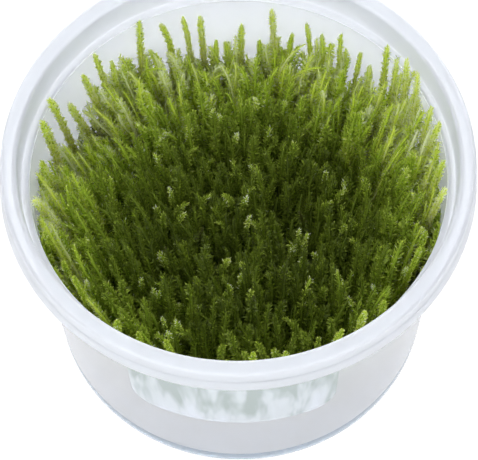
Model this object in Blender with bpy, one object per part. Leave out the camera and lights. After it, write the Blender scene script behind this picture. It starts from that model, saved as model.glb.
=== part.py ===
"""Spiky moss grown on nutrient gel in a frosted plastic tissue culture cup.

The cup stands on the XY plane, with its axis on Z and its front towards -Y.
All lengths in the model are metres. A bearing is an angle in degrees,
clockwise from the back (+Y) as seen from above.
"""

import math
import random
from dataclasses import dataclass

import bmesh
import bpy
from mathutils import Vector
from mathutils.geometry import delaunay_2d_cdt

MM = 0.001
GAP = 0.3 * MM  # between pieces that touch
SEED = 7

# Driving dimensions of the cup
CUP_HEIGHT = 65.0 * MM
FLANGE_RADIUS = 50.0 * MM
MOUTH_RADIUS = 46.4 * MM
SKIRT_RADIUS = 50.5 * MM
SKIRT_DROP = 6.25 * MM
WALL = 0.9 * MM
BODY_TOP_RADIUS = 45.15 * MM
BODY_TOP_HEIGHT = 56.6 * MM
BODY_FOOT_RADIUS = 41.95 * MM
BASE_ROUNDING = 2.5 * MM
FOOT_RING_WIDTH = 3.0 * MM
FOOT_RING_SLOPE = 0.6 * MM
FOOT_RECESS = 0.8 * MM
FLOOR_THICKNESS = 1.0 * MM
FLOOR_ROUNDING = 2.0 * MM
FLANGE_THICKNESS = 1.1 * MM
EDGE_BREAK = 0.5 * MM  # the small bevel on the flange's edges
NECK_DRAFT = 0.35 * MM  # how much narrower the neck is at its foot
LEDGE_HEIGHT = 57.9 * MM
LEDGE_BREAK = 0.5 * MM
CUP_SEGMENTS = 64

# Driving dimensions of what grows in it
GEL_TOP = 22.0 * MM
MAT_TOP = 33.0 * MM
VALLEY_HEIGHT = 35.0 * MM  # the level between the spikes of the crown
CROWN_RIM_POINTS = 80
SPIKE_COUNT = 545
SPIKE_FIELD_RADIUS = 35.8 * MM
SPIKE_TIP_MIDDLE = 45.0 * MM
SPIKE_TIP_FALL_TO_BACK = 1.5 * MM
SPIKE_TIP_SPREAD = 5.0 * MM
SPIKE_EDGE_LEAN = 0.16  # sideways run for each unit of height, at the edge
SPIKE_TIP_WANDER = 0.6 * MM
WALL_SPIKE_RADIUS = 41.2 * MM
WALL_SPIKE_RISES = (7.0 * MM, 13.0 * MM)
WALL_SPIKE_LEAN = 0.06
WALL_SPIKE_ROOM = 4.6  # degrees between shoots that leave room for one

# Tall shoots, which stand singly between the spikes and the wall
BACK_FOOT_RADIUS = 40.6 * MM
FRONT_FOOT_RADIUS = 39.6 * MM
SHOOT_FOOT_ROOM = 1.3 * MM
SHOOT_LEAN = 0.05
SHOOT_BEND = 2.2  # extra lean for each metre of height
SHOOT_SIDES = 5
SHOOT_THICKNESS = 1.9 * MM
# How far up each ring of corners lies, and how thick the shoot is there, as shares
SHOOT_RINGS = ((0.0, 0.85), (0.3, 1.0), (0.6, 1.0), (0.82, 0.9), (0.95, 0.6))

# Bearing of the foot, bearing of the tip, height of the tip and sideways curl of the tip,
# both in millimetres, of the tall shoots round the back and the sides; a plus curl is clockwise
TALL_SHOOTS = (
    (-103, -107, 58, -0.5), (-91, -98, 61, -1.0), (-81, -83, 55, 0.5),
    (-73.5, -73.5, 61, 0.0), (-63, -67, 62, 0.0), (-54.5, -60.5, 53, 0.5),
    (-48, -51.5, 56, 0.0), (-44, -45, 59, -0.5), (-40.5, -40.5, 53, 0.0),
    (-36.5, -37, 49, 0.0), (-32, -29, 60, 0.0), (-24, -26, 49, -1.0),
    (-20.5, -20, 56, -2.0), (-14, -15, 56, -0.5), (-10, -10.5, 55, 0.0),
    (-6.5, -6, 46, 0.0), (-2.5, -2.5, 45, -0.5), (1.5, 2, 51, 0.0),
    (8, 7.5, 46, 0.0), (13, 11, 57, 0.0), (17, 17, 50, 0.5),
    (25.5, 22.5, 55, -0.5), (30, 27, 53, 0.0), (35, 33, 56, 0.0),
    (40, 40.5, 54, 0.0), (46, 44.5, 52, 0.0), (52.5, 49, 62, 0.0),
    (57, 53.5, 61, 0.0), (64, 57.5, 64, -0.5), (70, 63.5, 64, -1.0),
    (75, 72.5, 62, 0.0), (80, 78, 63, 0.5), (86, 83.5, 58, -0.5),
    (91.5, 89.5, 61, 0.0), (98, 99, 63, 0.5),
)
# The rest stand evenly round the front
FRONT_FROM, FRONT_TO, FRONT_COUNT = 109, 245, 13
FRONT_TIPS = (55, 58, 53, 59, 56)
FRONT_SWAYS = (0, -4, 2)  # degrees from foot to tip

# The film on the front of the body
LABEL_BEARING = 183.0
LABEL_HALF_ANGLE = 30.0
LABEL_BOTTOM = 26.5 * MM
LABEL_TOP = 53.5 * MM
LABEL_CORNER = 5.0 * MM
LABEL_THICKNESS = 0.3 * MM
LABEL_COLUMNS = 20


def clear_scene():
    """Remove every object that the file starts with."""
    for thing in list(bpy.data.objects):
        bpy.data.objects.remove(thing, do_unlink=True)


def material(name, colour, roughness, transmission=0.0, ior=1.45):
    """A Principled material with a linear colour."""
    made = bpy.data.materials.new(name)
    made.use_nodes = True
    shader = made.node_tree.nodes["Principled BSDF"]
    shader.inputs["Base Color"].default_value = (*colour, 1.0)
    shader.inputs["Roughness"].default_value = roughness
    shader.inputs["Metallic"].default_value = 0.0
    shader.inputs["Transmission Weight"].default_value = transmission
    shader.inputs["IOR"].default_value = ior
    return made


def frosted_polypropylene():
    """The cup's milky, faintly blue plastic."""
    return material("frosted_polypropylene", (0.86, 0.88, 0.93), 0.45, 0.4, 1.49)


def agar_gel():
    """The clear, slightly grey nutrient gel."""
    return material("agar_gel", (0.70, 0.75, 0.80), 0.2, 0.7, 1.34)


def moss_mat_green():
    """The brownish green of the old growth, out of the light."""
    return material("moss_thatch", (0.05, 0.08, 0.015), 0.8)


def moss_crown_green():
    """The dark green of the crowded stand."""
    return material("moss_green_dark", (0.06, 0.13, 0.02), 0.7)


def moss_shoot_green():
    """The brighter yellow-green of shoots that stand in the light."""
    return material("moss_green_bright", (0.22, 0.38, 0.05), 0.65)


def white_film():
    """The label's translucent white film."""
    return material("white_film", (0.88, 0.89, 0.91), 0.5)


def add_object(name, mesh_builder, finish):
    """Make an object of a bmesh, with its faces pointing out, and give it its finish."""
    bmesh.ops.recalc_face_normals(mesh_builder, faces=mesh_builder.faces)
    mesh = bpy.data.meshes.new(name)
    mesh_builder.to_mesh(mesh)
    mesh_builder.free()
    mesh.materials.append(finish)
    thing = bpy.data.objects.new(name, mesh)
    bpy.context.scene.collection.objects.link(thing)
    return thing


def outward(bearing):
    """The unit vector that points from the axis to a bearing."""
    angle = math.radians(bearing)
    return Vector((math.sin(angle), math.cos(angle), 0.0))


def clockwise(bearing):
    """The unit vector along the rim at a bearing, clockwise from above."""
    angle = math.radians(bearing)
    return Vector((math.cos(angle), -math.sin(angle), 0.0))


def arc(centre_r, centre_z, radius, start, end, steps):
    """Points on a rounded edge of a turned profile, angles in degrees from +r towards +z."""
    points = []
    for i in range(steps + 1):
        angle = math.radians(start + (end - start) * i / steps)
        points.append((centre_r + radius * math.cos(angle), centre_z + radius * math.sin(angle)))
    return points


def turned(profile, segments):
    """Spin a profile of (radius, height) points, open at the axis, into a closed solid."""
    solid = bmesh.new()
    corners = [solid.verts.new((radius, 0.0, height)) for radius, height in profile]
    edges = [solid.edges.new(pair) for pair in zip(corners, corners[1:])]
    bmesh.ops.spin(
        solid,
        geom=corners + edges,
        cent=(0.0, 0.0, 0.0),
        axis=(0.0, 0.0, 1.0),
        angle=2.0 * math.pi,
        steps=segments,
        use_merge=True,
    )
    bmesh.ops.remove_doubles(solid, verts=solid.verts, dist=0.001 * MM)
    return solid


def body_radius(height):
    """The outer radius of the cup's tapering body."""
    share = (height - BASE_ROUNDING) / (BODY_TOP_HEIGHT - BASE_ROUNDING)
    return BODY_FOOT_RADIUS + (BODY_TOP_RADIUS - BODY_FOOT_RADIUS) * share


def inner_radius(height):
    """The radius of the body's inner wall."""
    return body_radius(height) - WALL


def cup_profile():
    """The cup's section, from the middle of its underside round to the middle of its floor."""
    floor = FOOT_RECESS + FLOOR_THICKNESS
    foot_outer = BODY_FOOT_RADIUS - BASE_ROUNDING
    foot_inner = foot_outer - FOOT_RING_WIDTH
    foot = [
        (0.0, FOOT_RECESS),
        (foot_inner - FOOT_RING_SLOPE, FOOT_RECESS),
        (foot_inner, 0.0),
    ]
    rounding = arc(foot_outer, BASE_ROUNDING, BASE_ROUNDING, -90, 0, 3)
    neck_foot = MOUTH_RADIUS - NECK_DRAFT
    underside = CUP_HEIGHT - FLANGE_THICKNESS
    skirt_bottom = CUP_HEIGHT - SKIRT_DROP
    outside = [
        (BODY_TOP_RADIUS, BODY_TOP_HEIGHT),
        (neck_foot + WALL, LEDGE_HEIGHT - WALL),
        (MOUTH_RADIUS + WALL, underside),
        (FLANGE_RADIUS - WALL, underside),
        (SKIRT_RADIUS - WALL, skirt_bottom),
        (SKIRT_RADIUS, skirt_bottom),
        (FLANGE_RADIUS, CUP_HEIGHT - EDGE_BREAK),
        (FLANGE_RADIUS - EDGE_BREAK, CUP_HEIGHT),
    ]
    inner_top = LEDGE_HEIGHT - LEDGE_BREAK
    floor_edge = floor + FLOOR_ROUNDING
    inside = [
        (MOUTH_RADIUS + EDGE_BREAK, CUP_HEIGHT),
        (MOUTH_RADIUS, CUP_HEIGHT - EDGE_BREAK),
        (neck_foot, LEDGE_HEIGHT + LEDGE_BREAK),
        (neck_foot - LEDGE_BREAK, LEDGE_HEIGHT),
        (inner_radius(inner_top) + LEDGE_BREAK, LEDGE_HEIGHT),
        (inner_radius(inner_top), inner_top),
    ]
    inside += arc(
        inner_radius(floor_edge) - FLOOR_ROUNDING, floor_edge, FLOOR_ROUNDING, 0, -90, 2
    )
    return foot + rounding + outside + inside + [(0.0, floor)]


def build_cup():
    """The one-piece moulded cup."""
    return add_object("cup", turned(cup_profile(), CUP_SEGMENTS), frosted_polypropylene())


def build_gel():
    """The disc of set gel, which fills the cup's foot."""
    bottom = FOOT_RECESS + FLOOR_THICKNESS + GAP
    edge = bottom + FLOOR_ROUNDING
    profile = [
        (0.0, bottom),
        (inner_radius(edge) - FLOOR_ROUNDING - GAP, bottom),
        (inner_radius(edge) - GAP, edge),
        (inner_radius(GEL_TOP) - GAP, GEL_TOP),
        (0.0, GEL_TOP),
    ]
    return add_object("nutrient_gel", turned(profile, CUP_SEGMENTS), agar_gel())


@dataclass
class Shoot:
    """A tall shoot's axis: where its foot stands, and where its tip reaches and curls to."""

    foot_radius: float
    foot_bearing: float
    tip_bearing: float
    tip_height: float
    curl: float

    def rise(self):
        """How far its tip is above its foot."""
        return self.tip_height - VALLEY_HEIGHT - GAP

    def sway(self):
        """How many degrees it turns round the cup for each metre of height."""
        return (self.tip_bearing - self.foot_bearing) / self.rise()

    def point(self, share):
        """The point a share of the way up.

        The axis leans out along a parabola, and its curl grows with the share's fourth power.
        """
        height = self.rise() * share
        radius = self.foot_radius + SHOOT_LEAN * height + SHOOT_BEND * height**2
        bearing = self.foot_bearing + self.sway() * height
        point = outward(bearing) * radius + clockwise(bearing) * self.curl * share**4
        point.z = VALLEY_HEIGHT + GAP + height
        return point


def shoot_plan():
    """Every tall shoot, in order round the cup."""
    plan = []
    for foot, tip, height, curl in TALL_SHOOTS:
        plan.append(Shoot(BACK_FOOT_RADIUS, foot, tip, height * MM, curl * MM))
    step = (FRONT_TO - FRONT_FROM) / (FRONT_COUNT - 1)
    for i in range(FRONT_COUNT):
        foot = FRONT_FROM + step * i
        tip = foot + FRONT_SWAYS[i % len(FRONT_SWAYS)]
        height = FRONT_TIPS[i % len(FRONT_TIPS)] * MM
        plan.append(Shoot(FRONT_FOOT_RADIUS, foot, tip, height, 0.0))
    return plan


def sunflower(count, radius):
    """Points spread evenly over a disc, along the spiral of a sunflower head."""
    golden_angle = math.pi * (3.0 - math.sqrt(5.0))
    points = []
    for i in range(count):
        distance = radius * math.sqrt((i + 0.5) / count)
        angle = i * golden_angle
        points.append(Vector((distance * math.cos(angle), distance * math.sin(angle), 0.0)))
    return points


def spike_tip(place, chance):
    """The tip of the spike that rises at a place: lower towards the back, and leaning out."""
    share = place.length / SPIKE_FIELD_RADIUS
    height = SPIKE_TIP_MIDDLE - SPIKE_TIP_FALL_TO_BACK * place.y / SPIKE_FIELD_RADIUS
    height += SPIKE_TIP_SPREAD * chance.uniform(-1.0, 1.0)
    lean = SPIKE_EDGE_LEAN * share * (height - VALLEY_HEIGHT)
    wander = Vector((chance.uniform(-1.0, 1.0), chance.uniform(-1.0, 1.0), 0.0))
    tip = place + place.normalized() * lean + wander * SPIKE_TIP_WANDER
    tip.z = height
    return tip


def wall_spike(bearing, sway, chance):
    """A spike of the outermost row, which leans as the wall does and sways as told."""
    rise = chance.uniform(*WALL_SPIKE_RISES)
    tip = outward(bearing + sway * rise) * (WALL_SPIKE_RADIUS + WALL_SPIKE_LEAN * rise)
    tip.z = VALLEY_HEIGHT + rise
    return outward(bearing) * WALL_SPIKE_RADIUS, tip


def crown_points(plan, chance):
    """The crown's points: where each lies from above, and the tip it rises to, or None."""
    field = sunflower(SPIKE_COUNT, SPIKE_FIELD_RADIUS)
    points = [(place, spike_tip(place, chance)) for place in field]
    for this, following in zip(plan, plan[1:] + plan[:1]):
        room = (following.foot_bearing - this.foot_bearing) % 360.0
        if room > WALL_SPIKE_ROOM:
            sway = (this.sway() + following.sway()) / 2.0
            points.append(wall_spike(this.foot_bearing + room / 2.0, sway, chance))
    for shoot in plan:
        foot = outward(shoot.foot_bearing) * shoot.foot_radius
        for along in (outward(shoot.foot_bearing), clockwise(shoot.foot_bearing)):
            points.append((foot + along * SHOOT_FOOT_ROOM, None))
            points.append((foot - along * SHOOT_FOOT_ROOM, None))
    rim = inner_radius(VALLEY_HEIGHT) - GAP
    for i in range(CROWN_RIM_POINTS):
        points.append((outward(360.0 * i / CROWN_RIM_POINTS) * rim, None))
    return points


def spiky_top(points):
    """Triangles over the points, as corners that are either an index or a new valley point.

    The points are joined by a Delaunay net. A net triangle with two or three spikes gets a
    valley point at its middle, and an edge between two spikes is turned to run from valley to
    valley, so that each spike falls away on every side.
    """
    flat = [Vector((place.x, place.y)) for place, _ in points]
    _, _, faces, sources, _, _ = delaunay_2d_cdt(flat, [], [], 0, 1e-7)
    order = [[sources[corner][0] for corner in face] for face in faces]
    is_spike = [tip is not None for _, tip in points]
    valley = {}
    beside = {}
    for i, face in enumerate(order):
        if sum(is_spike[corner] for corner in face) >= 2:
            valley[i] = sum((points[corner][0] for corner in face), Vector()) / 3.0
        for a, b in zip(face, face[1:] + face[:1]):
            beside[a, b] = i
    triangles = []
    for i, face in enumerate(order):
        if i not in valley:
            triangles.append(face)
            continue
        for a, b in zip(face, face[1:] + face[:1]):
            across = beside.get((b, a))
            if not (is_spike[a] and is_spike[b]):
                triangles.append([a, b, ("valley", i)])
            elif i < across:
                triangles.append([a, ("valley", across), ("valley", i)])
                triangles.append([b, ("valley", i), ("valley", across)])
    return triangles, valley


def build_moss_mat():
    """The matted old growth under the crown: a disc that fills the cup above the gel."""
    bottom = GEL_TOP + GAP
    profile = [
        (0.0, bottom),
        (inner_radius(bottom) - GAP, bottom),
        (inner_radius(MAT_TOP) - GAP, MAT_TOP),
        (0.0, MAT_TOP),
    ]
    return add_object("moss_mat", turned(profile, CUP_SEGMENTS), moss_mat_green())


def build_moss_crown(plan):
    """The leafy tops of the crowded stand: a layer with its shoots fused on as spikes."""
    chance = random.Random(SEED)
    points = crown_points(plan, chance)
    triangles, valley = spiky_top(points)
    lift = Vector((0.0, 0.0, VALLEY_HEIGHT))
    solid = bmesh.new()
    corners = {}
    for i, (place, tip) in enumerate(points):
        corners[i] = solid.verts.new(tip if tip is not None else place + lift)
    for i, place in valley.items():
        corners["valley", i] = solid.verts.new(place + lift)
    for triangle in triangles:
        solid.faces.new([corners[key] for key in triangle])
    foot_height = MAT_TOP + GAP
    shrink = (inner_radius(foot_height) - GAP) / (inner_radius(VALLEY_HEIGHT) - GAP)
    rim = [corners[i] for i in range(len(points) - CROWN_RIM_POINTS, len(points))]
    foot = [solid.verts.new((v.co.x * shrink, v.co.y * shrink, foot_height)) for v in rim]
    for i in range(CROWN_RIM_POINTS):
        j = (i + 1) % CROWN_RIM_POINTS
        solid.faces.new((rim[i], rim[j], foot[j], foot[i]))
    solid.faces.new(foot)
    return add_object("moss_crown", solid, moss_crown_green())


def build_shoot(name, shoot, finish):
    """One tall shoot of the plan: a leaning finger of a few rings that tapers to its tip."""
    solid = bmesh.new()
    rings = []
    for share, thickness in SHOOT_RINGS:
        centre = shoot.point(share)
        radius = thickness * SHOOT_THICKNESS / 2.0
        ring = []
        for i in range(SHOOT_SIDES):
            side = outward(360.0 * i / SHOOT_SIDES)
            ring.append(solid.verts.new(centre + side * radius))
        rings.append(ring)
    for lower, upper in zip(rings, rings[1:]):
        for i in range(SHOOT_SIDES):
            j = (i + 1) % SHOOT_SIDES
            solid.faces.new((lower[i], lower[j], upper[j], upper[i]))
    tip = solid.verts.new(shoot.point(1.0))
    for i in range(SHOOT_SIDES):
        solid.faces.new((rings[-1][i], rings[-1][(i + 1) % SHOOT_SIDES], tip))
    solid.faces.new(rings[0])
    return add_object(name, solid, finish)


def build_shoots(plan):
    """All the tall shoots, named in order."""
    finish = moss_shoot_green()
    for i, shoot in enumerate(plan):
        build_shoot(f"shoot_{i + 1:02d}", shoot, finish)


def corner_inset(distance_from_end):
    """How far a rounded corner of the label pulls in its top and bottom edges."""
    if distance_from_end >= LABEL_CORNER:
        return 0.0
    run = LABEL_CORNER - distance_from_end
    return LABEL_CORNER - math.sqrt(LABEL_CORNER**2 - run**2)


def build_label():
    """The film: a curved sheet with rounded corners, on the tapering front of the body."""
    length = 2.0 * math.radians(LABEL_HALF_ANGLE) * body_radius(LABEL_TOP)
    solid = bmesh.new()
    columns = []
    for i in range(LABEL_COLUMNS + 1):
        # Columns crowd towards the ends, where the corners are round
        share = 0.5 - 0.5 * math.cos(math.pi * i / LABEL_COLUMNS)
        bearing = LABEL_BEARING + LABEL_HALF_ANGLE * (2.0 * share - 1.0)
        inset = min(corner_inset(length * min(share, 1.0 - share)), LABEL_CORNER * 0.9)
        column = []
        for height, proud in (
            (LABEL_BOTTOM + inset, GAP),
            (LABEL_TOP - inset, GAP),
            (LABEL_TOP - inset, GAP + LABEL_THICKNESS),
            (LABEL_BOTTOM + inset, GAP + LABEL_THICKNESS),
        ):
            point = outward(bearing) * (body_radius(height) + proud)
            point.z = height
            column.append(solid.verts.new(point))
        columns.append(column)
    for this, following in zip(columns, columns[1:]):
        for i in range(4):
            j = (i + 1) % 4
            solid.faces.new((this[i], this[j], following[j], following[i]))
    solid.faces.new(columns[0])
    solid.faces.new(columns[-1])
    return add_object("blank_label", solid, white_film())


def main():
    """Build every piece in the place where it stands."""
    clear_scene()
    plan = shoot_plan()
    build_cup()
    build_gel()
    build_moss_mat()
    build_moss_crown(plan)
    build_shoots(plan)
    build_label()


main()
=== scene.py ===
"""The looks of spiky moss that was grown in a frosted tissue culture cup.

Every length is in metres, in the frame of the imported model: +Z up, the cup's axis on Z and
its front towards -Y. The cup, the gel, the label and the moss are surfaces worked out with
numpy, each in the place of the CAD node that it stands for.
"""

import logging
import math
import sys
from dataclasses import dataclass, field
from enum import Enum

import bpy
import numpy as np
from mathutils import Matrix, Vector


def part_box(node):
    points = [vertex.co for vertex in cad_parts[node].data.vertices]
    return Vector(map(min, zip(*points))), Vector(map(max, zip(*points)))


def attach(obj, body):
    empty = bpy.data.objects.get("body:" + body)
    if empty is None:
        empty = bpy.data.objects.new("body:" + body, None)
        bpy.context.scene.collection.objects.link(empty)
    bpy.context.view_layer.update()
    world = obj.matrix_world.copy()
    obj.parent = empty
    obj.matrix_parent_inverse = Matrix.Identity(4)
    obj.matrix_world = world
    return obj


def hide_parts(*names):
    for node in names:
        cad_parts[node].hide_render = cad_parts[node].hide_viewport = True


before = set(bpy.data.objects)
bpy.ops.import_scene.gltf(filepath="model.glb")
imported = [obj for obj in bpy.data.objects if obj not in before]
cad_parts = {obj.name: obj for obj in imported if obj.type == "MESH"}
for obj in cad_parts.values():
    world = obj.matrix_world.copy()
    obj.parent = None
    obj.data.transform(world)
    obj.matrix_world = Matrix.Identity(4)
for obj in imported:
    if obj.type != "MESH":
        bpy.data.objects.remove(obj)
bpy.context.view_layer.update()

MM = 0.001
# Keeps a division by a length from failing where the length is nothing.
TINY = 1e-9
# An axis is a polynomial with this many coefficients.
POWERS = 9
SEED = 11
# What is added to the seed for what, and the seeds of the patches.
LANDMARK_SEED, WALL_SEED, TALL_SEED, STEM_SEED = 50, 60, 100, 500
SWAY_SEEDS, HEIGHT_SEED, TONE_SEED, CLUMP_SEED = (21, 22), 23, 24, 25
BODY = "root"
log = logging.getLogger("spiky_moss")


@dataclass(frozen=True)
class Viewpoint:
    """Where the photograph was taken from, found by fitting the cup's rim and body to it."""

    frame_width: int = 478
    frame_height: int = 460
    elevation: float = 62.07
    distance: float = 520.8 * MM
    target: tuple[float, float, float] = (-0.12 * MM, 0.0, 32.8 * MM)
    roll: float = -1.25
    focal_pixels: float = 2353.0

    def axes(self) -> tuple[np.ndarray, np.ndarray, np.ndarray]:
        """The camera's right, up and back directions, its roll included."""
        e, roll = math.radians(self.elevation), math.radians(self.roll)
        back = np.array([0.0, -math.cos(e), math.sin(e)])
        right = np.array([1.0, 0.0, 0.0])
        up = np.cross(back, right)
        turned_right = math.cos(roll) * right + math.sin(roll) * up
        turned_up = math.cos(roll) * up - math.sin(roll) * right
        return turned_right, turned_up, back

    def place(self) -> np.ndarray:
        """Where the camera stands."""
        return np.array(self.target) + self.axes()[2] * self.distance

    def at_height(self, pixels: np.ndarray, height: np.ndarray) -> np.ndarray:
        """Where the rays through some pixels cross level planes.

        Args:
            pixels: (n, 2) pixel coordinates of the photograph.
            height: (n,) heights of the planes.

        Returns:
            The (n, 3) crossings.
        """
        right, up, back = self.axes()
        across = (pixels[:, :1] - self.frame_width / 2) / self.focal_pixels
        upward = (self.frame_height / 2 - pixels[:, 1:]) / self.focal_pixels
        ray = across * right + upward * up - back
        reach = (height - self.place()[2]) / ray[:, 2]
        return self.place() + ray * reach[:, None]


# Surfaces


@dataclass
class Surface:
    """A triangle mesh as arrays: points (n, 3), triangles (m, 3) and one UV pair a point."""

    points: np.ndarray
    triangles: np.ndarray
    uv: np.ndarray


def joined(surfaces: list[Surface]) -> Surface:
    """Put several surfaces into one.

    Args:
        surfaces: the surfaces, in order.

    Returns:
        One surface that holds them all, unwelded.
    """
    starts = np.cumsum([0] + [len(s.points) for s in surfaces[:-1]])
    triangles = [s.triangles + start for s, start in zip(surfaces, starts)]
    points = np.concatenate([s.points for s in surfaces])
    uv = np.concatenate([s.uv for s in surfaces])
    return Surface(points, np.concatenate(triangles), uv)


def grid_triangles(rows: int, columns: int, round_columns: bool) -> np.ndarray:
    """Triangles over a grid whose point (i, j) has index i * columns + j.

    Args:
        rows: how many rows of points there are.
        columns: how many points a row has.
        round_columns: True where the last column joins the first.

    Returns:
        An (m, 3) array, two triangles for each cell.
    """
    i = np.arange(rows - 1)[:, None]
    j = np.arange(columns if round_columns else columns - 1)[None, :]
    following = (j + 1) % columns
    a, b = i * columns + j, i * columns + following
    c, d = (i + 1) * columns + following, (i + 1) * columns + j
    cells = np.stack([a, b, c, a, c, d], axis=-1)
    return cells.reshape(-1, 3)


def filleted(outline: list[tuple[float, float, float]], steps: int = 5) -> np.ndarray:
    """Round the corners of an outline.

    Each corner is replaced by the parabola that touches both of its sides at the corner's
    own distance from it: (1-t)^2 A + 2t(1-t) C + t^2 B, with t from 0 to 1.

    Args:
        outline: corners as (radius, height, distance), where distance 0 keeps it sharp.
        steps: how many stretches a rounded corner has.

    Returns:
        An (n, 2) array of (radius, height).
    """
    corners = np.array([(r, z) for r, z, _ in outline])
    reach = np.array([d for _, _, d in outline])
    before = corners - np.roll(corners, 1, axis=0)
    after = np.roll(corners, -1, axis=0) - corners
    before /= np.maximum(np.linalg.norm(before, axis=1, keepdims=True), TINY)
    after /= np.maximum(np.linalg.norm(after, axis=1, keepdims=True), TINY)
    t = np.linspace(0.0, 1.0, steps + 1)[None, :, None]
    start = (corners - before * reach[:, None])[:, None]
    end = (corners + after * reach[:, None])[:, None]
    curves = (1 - t) ** 2 * start + 2 * t * (1 - t) * corners[:, None] + t**2 * end
    pieces = [curve if d > 0 else curve[:1] for curve, d in zip(curves, reach)]
    return np.concatenate(pieces)


def revolved(profile: np.ndarray, segments: int) -> Surface:
    """Turn a profile about Z: (r cos a, r sin a, z) for each profile point and angle a.

    Args:
        profile: (n, 2) of (radius, height), from the axis at the underside, outwards and up,
            and back to the axis, so that the faces point out.
        segments: how many steps a full turn has.

    Returns:
        A closed surface with one point at each pole.
    """
    ring, rows = profile[1:-1], len(profile) - 2
    angle = np.linspace(0.0, 2 * math.pi, segments, endpoint=False)
    across = ring[:, 0, None] * np.stack([np.cos(angle), np.sin(angle)])[:, None]
    height = np.broadcast_to(ring[:, 1, None], across.shape[1:])
    points = np.stack([across[0], across[1], height], axis=-1).reshape(-1, 3)
    poles = np.array([[0.0, 0.0, profile[0, 1]], [0.0, 0.0, profile[-1, 1]]])
    low, high = len(points), len(points) + 1
    j = np.arange(segments)
    k = (j + 1) % segments
    last = (rows - 1) * segments
    under = np.stack([np.full(segments, low), k, j], axis=1)
    top = np.stack([np.full(segments, high), last + j, last + k], axis=1)
    triangles = np.concatenate([grid_triangles(rows, segments, True), under, top])
    along = np.concatenate([[0.0], np.cumsum(np.linalg.norm(np.diff(profile, axis=0), axis=1))])
    u = np.broadcast_to(angle / (2 * math.pi), (rows, segments)).ravel()
    v = np.repeat(along[1:-1] / along[-1], segments)
    uv = np.concatenate([np.stack([u, v], axis=1), [[0.5, 0.0], [0.5, 1.0]]])
    return Surface(np.concatenate([points, poles]), triangles, uv)


def golden_turns(number: np.ndarray) -> np.ndarray:
    """As many golden angles as each number says, so that neighbours stand well apart."""
    return number * math.pi * (3 - math.sqrt(5))


def smooth_noise(points: np.ndarray, size: float, seed: int) -> np.ndarray:
    """A soft random height for each point: the mean of a few plane waves of like length.

    Args:
        points: (..., 3) array of places.
        size: the length of one wave, in metres.
        seed: picks the waves.

    Returns:
        An array of about -1 to 1, one value for each place.
    """
    count = 9
    chance = np.random.default_rng(seed)
    waves = chance.normal(size=(count, 3))
    waves *= 2 * math.pi / size / np.linalg.norm(waves, axis=1, keepdims=True)
    phase = chance.uniform(0, 2 * math.pi, count)
    return np.sin(points @ waves.T + phase).sum(axis=-1) / (count / 2)


# Finishes


def linear(colour: str) -> tuple[float, float, float, float]:
    """Turn a hex colour in sRGB, such as #8FB02C, to linear RGBA."""
    parts = [int(colour[i : i + 2], 16) / 255 for i in (1, 3, 5)]
    curved = [p / 12.92 if p <= 0.04045 else ((p + 0.055) / 1.055) ** 2.4 for p in parts]
    return (*curved, 1.0)


def add_node(
    tree: bpy.types.NodeTree,
    kind: str,
    settings: dict | None = None,
    links: dict | None = None,
    stops: dict | None = None,
) -> bpy.types.Node:
    """Add a shader node.

    Args:
        tree: the material's node tree.
        kind: the node's type name, without the ShaderNode that each of them starts with.
        settings: attribute names (text) to values, and input keys to values.
        links: input keys to the output sockets that feed them.
        stops: a colour ramp's positions, in rising order, to hex colours.

    Returns:
        The node.
    """
    node = tree.nodes.new("ShaderNode" + kind)
    for key, value in (settings or {}).items():
        if isinstance(key, str) and hasattr(node, key):
            setattr(node, key, value)
        else:
            node.inputs[key].default_value = value
    for key, source in (links or {}).items():
        tree.links.new(source, node.inputs[key])
    for i, (position, colour) in enumerate((stops or {}).items()):
        elements = node.color_ramp.elements
        element = elements[i] if i < len(elements) else elements.new(position)
        element.position = position
        element.color = linear(colour)
    return node


@dataclass(frozen=True)
class Finish:
    """A material of shader nodes, which each kind of finish adds for itself."""

    name: str

    def shader(self, tree: bpy.types.NodeTree) -> bpy.types.NodeSocket:
        """Add the nodes, and give the socket that the surface shows."""
        raise NotImplementedError

    def material(self) -> bpy.types.Material:
        """Build the material."""
        made = bpy.data.materials.new(self.name)
        made.use_nodes = True
        made.node_tree.nodes.clear()
        shown = self.shader(made.node_tree)
        add_node(made.node_tree, "OutputMaterial", {}, {"Surface": shown})
        return made


@dataclass(frozen=True)
class FrostedPolypropylene(Finish):
    """Polypropylene, injection moulded: blasted tool for the rim, polished tool for the body.

    It gives the eye a milky, faintly blue rim with a soft sheen and a glossier, slightly
    clearer body. The grey-blue foot is painted shade, for the shadow under the cup seen through it.
    """

    name: str = "frosted_polypropylene"
    colour: str = "#F5F9FF"
    roughness: float = 0.3
    transmission: float = 0.5
    depth: float = 4.5 * MM
    # A blasted tool leaves grains of about 0.05 mm, which are drawn this coarse to show.
    grain: float = 0.45 * MM
    grain_depth: float = 0.02 * MM

    def shader(self, tree: bpy.types.NodeTree) -> bpy.types.NodeSocket:
        """Add the nodes: a grain in relief on plastic that scatters light within."""
        place = add_node(tree, "TexCoord").outputs["Object"]
        fine = {"Scale": 1 / self.grain, "Detail": 2.0}
        grain = add_node(tree, "TexNoise", fine, {"Vector": place})
        relief = {"Strength": 0.25, "Distance": self.grain_depth}
        bump = add_node(tree, "Bump", relief, {"Height": grain.outputs["Fac"]})
        settings = {
            "Base Color": linear(self.colour),
            "Roughness": self.roughness,
            "IOR": 1.49,
            "Transmission Weight": self.transmission,
            "Subsurface Weight": 1.0,
            "Subsurface Radius": (1.0, 1.0, 1.0),
            "Subsurface Scale": self.depth,
        }
        plastic = add_node(tree, "BsdfPrincipled", settings, {"Normal": bump.outputs["Normal"]})
        return plastic.outputs["BSDF"]


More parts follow.
